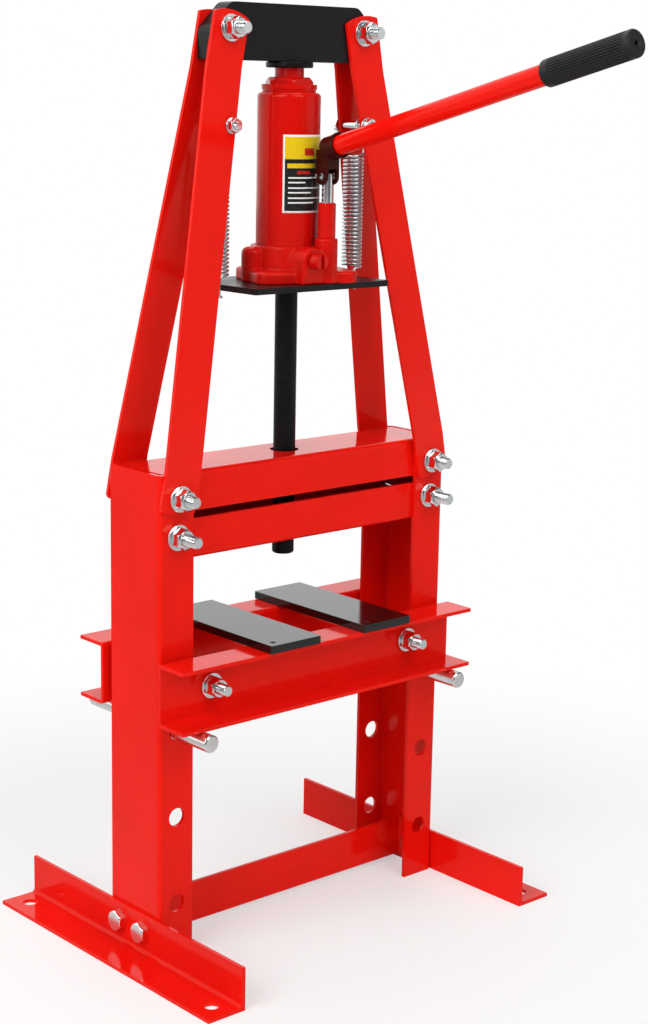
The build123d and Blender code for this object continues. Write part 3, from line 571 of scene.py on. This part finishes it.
def hex_radius(flat_radius, turns):
    """A hexagon's radius at each angle: flat radius over the cosine of the angle from the nearest flat."""
    sector = math.pi / 3
    return flat_radius / np.cos((turns + sector / 2) % sector - sector / 2)


def add_bolt(shell, points):
    """A hexagon head with a chamfered top, and a shank whose far end carries a thread.

    The thread's radius falls from the crest by a rounded triangle wave of distance / pitch - angle / turn. It
    runs out into the plain shank and the chamfered tip.
    """
    sizes = bolt_frame(points)
    corner, shank, head_height, length = sizes[4:]
    turns = np.linspace(0, 2 * math.pi, 6 * HEX_SIDE_STEPS, endpoint=False)
    flat_radius = corner * math.cos(math.pi / 6)
    hexagon = hex_radius(flat_radius, turns)
    chamfer = HEX_CHAMFER_SHARE * head_height
    steps = np.linspace(0, 1, HEX_CHAMFER_STEPS)
    rise = flat_radius * HEX_RISE_SHARE
    profile = [(0.0, np.minimum(hexagon, flat_radius * HEX_TOP_SHARE))]
    profile += [(chamfer * t, np.minimum(hexagon, rise + (corner - rise) * t)) for t in steps]
    profile += [(head_height - chamfer * HEX_FOOT_CHAMFER, hexagon), (head_height, hexagon * HEX_FOOT_SHARE)]
    shell.loft(bolt_rings(sizes, profile, turns))

    turns = np.linspace(0, 2 * math.pi, THREAD_AROUND, endpoint=False)
    pitch = THREAD_PITCH_SHARE * shank
    depth = THREAD_DEPTH_SHARE * shank
    thread_length = min(THREAD_LENGTH_SHARE * shank, THREAD_ROOM_SHARE * (length - head_height))
    chamfer = TIP_CHAMFER_SHARE * shank
    along = np.linspace(length - thread_length, length, int(thread_length / pitch * THREAD_STEPS))
    wave = np.abs(((along[:, None] / pitch - turns[None, :] / (2 * math.pi)) % 1.0) * 2 - 1)
    cut = depth * np.clip(THREAD_SLOPE * wave - THREAD_CREST, 0, 1)
    run_in = np.clip((along - along[0]) / pitch, 0, 1)[:, None]
    tip = (shank - chamfer) + (length - along)[:, None]
    radius = np.minimum(shank - cut * run_in, tip)
    profile = [(head_height * SHANK_START_SHARE, shank)] + list(zip(along, radius))
    shell.loft(bolt_rings(sizes, profile, turns))


def threaded_bolts(node, body, material):
    """One mesh for a node's bolts, in the places of its solids."""
    shell = Shell()
    for points in node_solids(node):
        add_bolt(shell, points)
    piece = shell.piece("threaded_" + node, material)
    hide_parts(node)
    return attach(piece, body)


def arc(centre, radius, first, last, steps):
    """Points of an arc in the XZ plane, angles in degrees from +X towards +Z."""
    turn = np.radians(np.linspace(first, last, steps))
    x = centre[0] + radius * np.cos(turn)
    z = centre[2] + radius * np.sin(turn)
    return np.stack([x, np.full(steps, centre[1]), z], axis=-1)


def spring_line(x, base, hanger_z, hole_z, coil_radius, hook_radius):
    """The wire's centre line and its outward direction.

    A curl under the plate, a rise through it, a quarter turn into the helix, the helix, a quarter turn out,
    a rise, and a half turn over the hanger bolt. The hooks lie in the plane of the coil's front.
    """
    top = base + SPRING_TURNS * SPRING_PITCH
    y = -coil_radius
    left = x - hook_radius
    right = x + hook_radius
    curl_z = hole_z - HOOK_CURL
    quarter = TURN_STEPS // 3
    curl = arc((left + HOOK_CURL, y, curl_z), HOOK_CURL, 270, 180, quarter)
    turn_in = arc((left + hook_radius, y, base - hook_radius), hook_radius, 180, 90, quarter)
    turn = 2 * math.pi * np.linspace(0, SPRING_TURNS, SPRING_TURNS * TURN_STEPS) - math.pi / 2
    rise = np.linspace(base, top, len(turn))
    helix = np.stack([x + coil_radius * np.cos(turn), coil_radius * np.sin(turn), rise], axis=-1)
    turn_out = arc((x, y, top + hook_radius), hook_radius, -90, 0, quarter)
    over = arc((x, y, hanger_z), hook_radius, 0, 180, 2 * quarter)
    line = np.concatenate([curl, turn_in, helix[1:-1], turn_out, over])
    outward = np.tile((0.0, -1.0, 0.0), (len(line), 1))
    first = len(curl) + len(turn_in)
    span = slice(first, first + len(helix) - 2)
    outward[span] = np.stack([np.cos(turn), np.sin(turn), 0 * turn], axis=-1)[1:-1]
    return line, outward


def tube_rings(line, outward, radius, around):
    """Rings round a line: centre + radius * (cos * normal + sin * side), the normal square to the tangent."""
    tangent = np.gradient(line, axis=0)
    tangent /= np.linalg.norm(tangent, axis=1, keepdims=True)
    normal = outward - (outward * tangent).sum(axis=1, keepdims=True) * tangent
    normal /= np.linalg.norm(normal, axis=1, keepdims=True)
    side = np.cross(tangent, normal)
    turn = np.linspace(0, 2 * math.pi, around, endpoint=False)
    circle = np.cos(turn)[None, :, None] * normal[:, None] + np.sin(turn)[None, :, None] * side[:, None]
    return line[:, None] + radius * circle


def return_spring(side, material):
    """A return spring of round wire from its hanger bolt to the carrier plate, built at the plate's present
    height.
    """
    node = side + "_spring"
    low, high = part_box(node)
    plate_low, plate_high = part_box("carrier_plate")
    x = (low.x + high.x) / 2
    coil_radius = (high.y - low.y) / 2 - WIRE_RADIUS
    bolt_points = [points for points in node_solids("hanger_bolts") if points[:, 0].mean() * x > 0][0]
    _, _, _, bolt_middle, _, bolt_radius, _, _ = bolt_frame(bolt_points)
    hanger_z = bolt_middle[2]
    hook_radius = bolt_radius + HOOK_GAP + WIRE_RADIUS
    base = plate_high.z + SPRING_LOW_GAP
    line, outward = spring_line(x, base, hanger_z, plate_low.z, coil_radius, hook_radius)
    shell = Shell()
    shell.loft(tube_rings(line, outward, WIRE_RADIUS, WIRE_AROUND))
    piece = shell.piece(side + "_coil_spring", material)
    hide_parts(node)
    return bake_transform(piece)


def long_axis(name):
    """A long node's centre and direction: its box's centre, and the first singular vector of its points."""
    points = node_points(name)
    centre = (points.max(axis=0) + points.min(axis=0)) / 2
    _, _, ways = np.linalg.svd(points - points.mean(axis=0), full_matrices=False)
    way = ways[0] * np.sign(-ways[0][1])
    return centre, way


def ribbed_grip(material):
    """The rubber sleeve as one closed ring of profiles along the handle.

    Each row is (place along, radius, share of the rib wave). Between the collar and the cap the outer radius
    falls by a rib wave, the cube of |cos| of half the rib angle. The profile goes out of the bore, along the
    outside, over the rounded cap and into the vent.
    """
    centre, way = long_axis("handle_bar")
    points = node_points("handle_grip")
    along = (points - centre) @ way
    away = np.linalg.norm(points - centre - along[:, None] * way, axis=1)
    start, end = along.min(), along.max()
    outer = away.max()
    low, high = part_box("handle_bar")
    bore = (high.x - low.x) / 2 + GRIP_PLAY
    turns = np.linspace(0, 2 * math.pi, GRIP_RIBS * GRIP_RIB_STEPS, endpoint=False)
    groove = np.abs(np.cos(turns * GRIP_RIBS / 2)) ** GRIP_RIB_POWER * GRIP_RIB_DEPTH
    length = end - start
    ribs_from = GRIP_COLLAR
    ribs_to = length - GRIP_CAP
    nick = outer - GRIP_NICK_DEPTH
    ribbed = np.linspace(ribs_from + GRIP_RUN_IN, ribs_to - GRIP_RUN_IN, GRIP_RIB_ROWS)
    quarter = np.linspace(0, math.pi / 2, GRIP_ROUND_STEPS)
    rows = [(ribs_to, GRIP_VENT, 0), (ribs_to, bore, 0), (0.0, bore, 0), (0.0, outer - GRIP_LIP, 0)]
    rows += [(GRIP_LIP * (1 - math.cos(t)), outer - GRIP_LIP * (1 - math.sin(t)), 0) for t in quarter[1:]]
    rows += [(ribs_from, outer, 0), (ribs_from + GRIP_NICK, nick, 0)]
    rows += [(place, outer, 1) for place in ribbed]
    rows += [(ribs_to - GRIP_NICK, nick, 0), (ribs_to, outer, 0)]
    rows += [(length - GRIP_ROUND * (1 - math.sin(t)), outer - GRIP_ROUND * (1 - math.cos(t)), 0)
             for t in quarter]
    rows += [(length, GRIP_VENT + GRIP_VENT_EDGE, 0), (length - GRIP_VENT_EDGE, GRIP_VENT, 0)]
    place = np.array([row[0] for row in rows]) + start
    radius = np.stack([row[1] - row[2] * groove for row in rows])
    side = np.array((1.0, 0.0, 0.0))
    up = np.cross(way, side)
    flat = ring_points(radius, turns)
    rings = centre + place[:, None, None] * way + flat[..., :1] * side + flat[..., 1:] * up
    shell = Shell()
    shell.loft(rings, wrap_rows=True)
    piece = shell.piece("ribbed_grip", material, sharp_angle=GRIP_SHARP_ANGLE)
    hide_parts("handle_grip")
    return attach(piece, "lever")


def jack_label(material):
    """The sticker on the reservoir: a thin band wrapped on the tube, angles from the front towards +X.

    Its grid runs round by angle and up by height, at the tube's radius plus a thickness that falls to a small
    share at the rim, and its UV map is the two grid shares.
    """
    low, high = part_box("reservoir")
    radius = (high.x - low.x) / 2
    shares = np.linspace(0, 1, LABEL_STEPS)
    rim = np.concatenate([[0.0], shares, [1.0]])
    u, v = np.meshgrid(rim, rim, indexing="ij")
    inside = np.zeros_like(u)
    inside[1:-1, 1:-1] = 1.0
    angle = np.radians((u - 0.5) * 2 * LABEL_HALF_ANGLE)
    away = radius + LABEL_THICKNESS * (inside + LABEL_RIM_SHARE)
    top = high.z - LABEL_DROP
    height = top - LABEL_HEIGHT * (1 - v)
    points = np.stack([away * np.sin(angle), -away * np.cos(angle), height], axis=-1)
    n = len(rim)
    i, j = np.meshgrid(np.arange(n - 1), np.arange(n - 1), indexing="ij")
    quads = (i * n + j, (i + 1) * n + j, (i + 1) * n + j + 1, i * n + j + 1)
    faces = np.stack(quads, axis=-1).reshape(-1, 4)
    mesh = bpy.data.meshes.new("jack_label")
    mesh.from_pydata(points.reshape(-1, 3).tolist(), [], faces.tolist())
    uv = mesh.uv_layers.new(name="Label")
    shares_uv = np.stack([u, v], axis=-1).reshape(-1, 2)[faces.ravel()]
    uv.data.foreach_set("uv", shares_uv.ravel())
    mesh.materials.append(material)
    mesh.shade_smooth()
    piece = bpy.data.objects.new("jack_label", mesh)
    bpy.context.scene.collection.objects.link(piece)
    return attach(piece, "carriage")


def casting(node, voxel, body, material):
    """A casting's soft skin: the CAD form resampled on a fine grid and smoothed, with filleted corners."""
    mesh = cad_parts[node].data.copy()
    piece = bpy.data.objects.new("cast_" + node, mesh)
    bpy.context.scene.collection.objects.link(piece)
    weld = piece.modifiers.new("weld", "WELD")
    weld.merge_threshold = WELD_GAP
    grid = piece.modifiers.new("grid", "REMESH")
    grid.mode = "VOXEL"
    grid.voxel_size = voxel
    smooth = piece.modifiers.new("smooth", "SMOOTH")
    smooth.factor = CAST_SMOOTH_SHARE
    smooth.iterations = CAST_SMOOTHING
    depsgraph = bpy.context.evaluated_depsgraph_get()
    finished = bpy.data.meshes.new_from_object(piece.evaluated_get(depsgraph))
    piece.modifiers.clear()
    piece.data = finished
    finished.materials.clear()
    finished.materials.append(material)
    finished.shade_smooth()
    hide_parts(node)
    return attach(piece, body)


def dress():
    """Gives every node its finish, and adds pieces for threads, springs, castings, rubber and the label."""
    red = gloss_paint("red_gloss_paint", RED, roughness=0.12, coat=0.0, specular=0.17, peel=0.05)
    jack_red = gloss_paint("jack_gloss_paint", CAST_RED, roughness=0.12, coat=0.04, specular=0.18, peel=0.05)
    cast = cast_paint("cast_gloss_paint", CAST_RED, roughness=0.3, specular=0.16)
    dark = cast_paint("dark_cast_paint", DARK_RED, roughness=0.3, specular=0.15)
    black = satin_black("satin_black_paint", roughness=0.34, coat=0.0, specular=0.2)
    rod_black = satin_black("rod_black_paint", roughness=0.3, coat=0.0, specular=0.12)
    plate_black = satin_black("plate_black_paint", roughness=0.12, coat=0.1, specular=0.45)
    zinc = plated("bright_zinc", ZINC, roughness=0.13, grain=500)
    spring_steel = plated("spring_wire", SPRING_STEEL, roughness=0.3, grain=700)
    steel = plated("ground_steel", STEEL, roughness=0.22, grain=300, stretch=(1.0, 0.05, 1.0))
    chrome = plated("polished_rod", CHROME, roughness=0.08, grain=300, stretch=(1.0, 1.0, 0.05))
    rubber = moulded_rubber("moulded_rubber")

    straps = [f"{depth}_{side}_strap" for depth in ("front", "rear") for side in ("left", "right")]
    sheets = [f"{side}_{part}" for side in ("left", "right") for part in ("upright", "foot")]
    sheets += straps + ["cross_brace", "upper_beam", "lower_beam", "front_bed_rail", "rear_bed_rail"]
    paint(sheets, red, SHEET_EDGE)
    paint(["handle_bar"], red, FINE_EDGE)
    paint(["reservoir", "cap_nut"], jack_red, SHEET_EDGE)
    paint(["pump_cylinder", "fulcrum_link"], jack_red, FINE_EDGE)
    paint(["jack_base"], cast)
    paint(["handle_socket"], dark)
    paint(["head_block", "carrier_plate"], black, SHEET_EDGE)
    paint(["saddle", "ram_rod"], rod_black, SHEET_EDGE)
    paint(["left_press_plate", "right_press_plate"], plate_black, SHEET_EDGE)
    groups = ("beam", "head", "bed", "hanger")
    washers = [f"{group}_washers" for group in groups]
    nuts = [f"{group}_nuts" for group in groups] + ["foot_nuts"]
    paint(washers + nuts, zinc, FINE_EDGE)
    paint([f"{group}_bolts" for group in groups] + ["foot_bolts"], zinc)
    paint(["left_spring", "right_spring"], spring_steel)
    paint(["bed_spacers", "link_pins", "plunger_pin"], zinc, FINE_EDGE)
    paint(["release_valve"], jack_red, FINE_EDGE)
    paint(["left_pin", "right_pin"], steel, FINE_EDGE)
    paint(["pressure_cylinder", "valve_balls"], steel)
    paint(["pump_plunger"], chrome, FINE_EDGE)
    paint(["piston"], painted_rod("painted_piston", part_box("cap_nut")[1].z), FINE_EDGE)
    paint(["handle_grip", "filler_plug", "piston_seal", "plunger_seal", "reservoir_gasket"], rubber)

    for node, body in (("beam_bolts", "frame"), ("head_bolts", "frame"), ("bed_bolts", "bed"),
                       ("hanger_bolts", "frame"), ("foot_bolts", "frame")):
        threaded_bolts(node, body, zinc)
    for side in ("left", "right"):
        return_spring(side, spring_steel)
    ribbed_grip(rubber)
    jack_label(printed_label("printed_label"))
    casting("jack_base", BASE_VOXEL, "carriage", cast)
    casting("handle_socket", SOCKET_VOXEL, "lever", dark)


def studio():
    """A pale floor that fades to white, a white surround, and lamps at the left, front, right and above."""
    mesh = bpy.data.meshes.new("floor")
    reach = FLOOR_REACH
    corners = [(-reach, -reach, 0), (reach, -reach, 0), (reach, reach, 0), (-reach, reach, 0)]
    mesh.from_pydata(corners, [], [(0, 1, 2, 3)])
    floor = bpy.data.objects.new("floor", mesh)
    bpy.context.scene.collection.objects.link(floor)
    mesh.materials.append(floor_material())
    surround()
    for lamp_values in LAMPS:
        lamp(*lamp_values)


def floor_material():
    """Matt pale floor near the object that fades with distance into white, less bright in reflections."""
    material = bpy.data.materials.new("pale_floor")
    material.use_nodes = True
    nodes = material.node_tree.nodes
    links = material.node_tree.links
    matt = nodes["Principled BSDF"]
    matt.inputs["Base Color"].default_value = (*FLOOR, 1)
    matt.inputs["Roughness"].default_value = FLOOR_ROUGHNESS
    matt.inputs["Specular IOR Level"].default_value = FLOOR_SPECULAR
    glow = nodes.new("ShaderNodeEmission")
    place = nodes.new("ShaderNodeTexCoord")
    distance = nodes.new("ShaderNodeVectorMath")
    distance.operation = "LENGTH"
    links.new(place.outputs["Object"], distance.inputs[0])
    fade = nodes.new("ShaderNodeMapRange")
    fade.interpolation_type = "SMOOTHSTEP"
    fade.inputs["From Min"].default_value = FADE_FROM
    fade.inputs["From Max"].default_value = FADE_TO
    fade.inputs["To Min"].default_value = FADE_START
    links.new(distance.outputs["Value"], fade.inputs["Value"])
    path = nodes.new("ShaderNodeLightPath")
    strength = nodes.new("ShaderNodeMapRange")
    strength.inputs["To Min"].default_value = FLOOR_GLOSS
    links.new(path.outputs["Is Camera Ray"], strength.inputs["Value"])
    links.new(strength.outputs["Result"], glow.inputs["Strength"])
    seen = nodes.new("ShaderNodeMath")
    seen.operation = "MAXIMUM"
    links.new(path.outputs["Is Camera Ray"], seen.inputs[0])
    links.new(path.outputs["Is Glossy Ray"], seen.inputs[1])
    factor = nodes.new("ShaderNodeMath")
    factor.operation = "MULTIPLY"
    links.new(fade.outputs["Result"], factor.inputs[0])
    links.new(seen.outputs["Value"], factor.inputs[1])
    mix = nodes.new("ShaderNodeMixShader")
    links.new(factor.outputs["Value"], mix.inputs[0])
    links.new(matt.outputs["BSDF"], mix.inputs[1])
    links.new(glow.outputs["Emission"], mix.inputs[2])
    links.new(mix.outputs["Shader"], nodes["Material Output"].inputs["Surface"])
    return material


def surround():
    """The room: white to the camera, and a dimmer even light on matt surfaces.

    To reflections it is bright behind the object and dim in front, by a smooth step of the ray's share along
    +Y, so that bright metal and gloss keep their contrast.
    """
    world = bpy.data.worlds.new("studio_surround")
    bpy.context.scene.world = world
    world.use_nodes = True
    nodes = world.node_tree.nodes
    links = world.node_tree.links
    light = nodes["Background"]
    light.inputs["Color"].default_value = (1, 1, 1, 1)
    light.inputs["Strength"].default_value = AMBIENT
    place = nodes.new("ShaderNodeTexCoord")
    along = nodes.new("ShaderNodeSeparateXYZ")
    links.new(place.outputs["Generated"], along.inputs["Vector"])
    grade = nodes.new("ShaderNodeMapRange")
    grade.interpolation_type = "SMOOTHSTEP"
    grade.inputs["From Min"].default_value = GRADE_FROM
    grade.inputs["From Max"].default_value = GRADE_TO
    grade.inputs["To Min"].default_value = FRONT_GLOSS
    grade.inputs["To Max"].default_value = BACK_GLOSS
    links.new(along.outputs["Y"], grade.inputs["Value"])
    mirrored = nodes.new("ShaderNodeBackground")
    mirrored.inputs["Color"].default_value = (1, 1, 1, 1)
    links.new(grade.outputs["Result"], mirrored.inputs["Strength"])
    seen = nodes.new("ShaderNodeBackground")
    seen.inputs["Color"].default_value = (1, 1, 1, 1)
    seen.inputs["Strength"].default_value = 1.0
    path = nodes.new("ShaderNodeLightPath")
    gloss_mix = nodes.new("ShaderNodeMixShader")
    links.new(path.outputs["Is Glossy Ray"], gloss_mix.inputs[0])
    links.new(light.outputs["Background"], gloss_mix.inputs[1])
    links.new(mirrored.outputs["Background"], gloss_mix.inputs[2])
    clear = nodes.new("ShaderNodeMath")
    clear.operation = "MAXIMUM"
    links.new(path.outputs["Is Camera Ray"], clear.inputs[0])
    links.new(path.outputs["Is Transmission Ray"], clear.inputs[1])
    mix = nodes.new("ShaderNodeMixShader")
    links.new(clear.outputs["Value"], mix.inputs[0])
    links.new(gloss_mix.outputs["Shader"], mix.inputs[1])
    links.new(seen.outputs["Background"], mix.inputs[2])
    links.new(mix.outputs["Shader"], nodes["World Output"].inputs["Surface"])


def lamp(name, place, target, size, power):
    """A square soft lamp that looks at a target."""
    data = bpy.data.lights.new(name, "AREA")
    data.size = size
    data.energy = power
    light = bpy.data.objects.new(name, data)
    light.location = place
    way = Vector(target) - Vector(place)
    light.rotation_mode = "QUATERNION"
    light.rotation_quaternion = way.to_track_quat("-Z", "Y")
    bpy.context.scene.collection.objects.link(light)


def camera():
    """The photograph's viewpoint: azimuth about Z from -Y, elevation above the floor, and a small roll."""
    azimuth = math.radians(CAMERA_AZIMUTH)
    elevation = math.radians(CAMERA_ELEVATION)
    back = Vector((math.sin(azimuth) * math.cos(elevation), -math.cos(azimuth) * math.cos(elevation),
                   math.sin(elevation)))
    right = Vector((math.cos(azimuth), math.sin(azimuth), 0))
    up = back.cross(right)
    turn = math.radians(CAMERA_ROLL)
    rolled_right = math.cos(turn) * right + math.sin(turn) * up
    rolled_up = math.cos(turn) * up - math.sin(turn) * right
    data = bpy.data.cameras.new("camera")
    data.lens = CAMERA_LENS
    data.sensor_width = CAMERA_SENSOR
    view = bpy.data.objects.new("camera", data)
    columns = Matrix((rolled_right, rolled_up, back)).transposed()
    view.matrix_world = Matrix.Translation(CAMERA_PLACE) @ columns.to_4x4()
    bpy.context.scene.collection.objects.link(view)
    bpy.context.scene.camera = view


camera()
dress()
studio()
bpy.context.scene.view_settings.view_transform = "Standard"
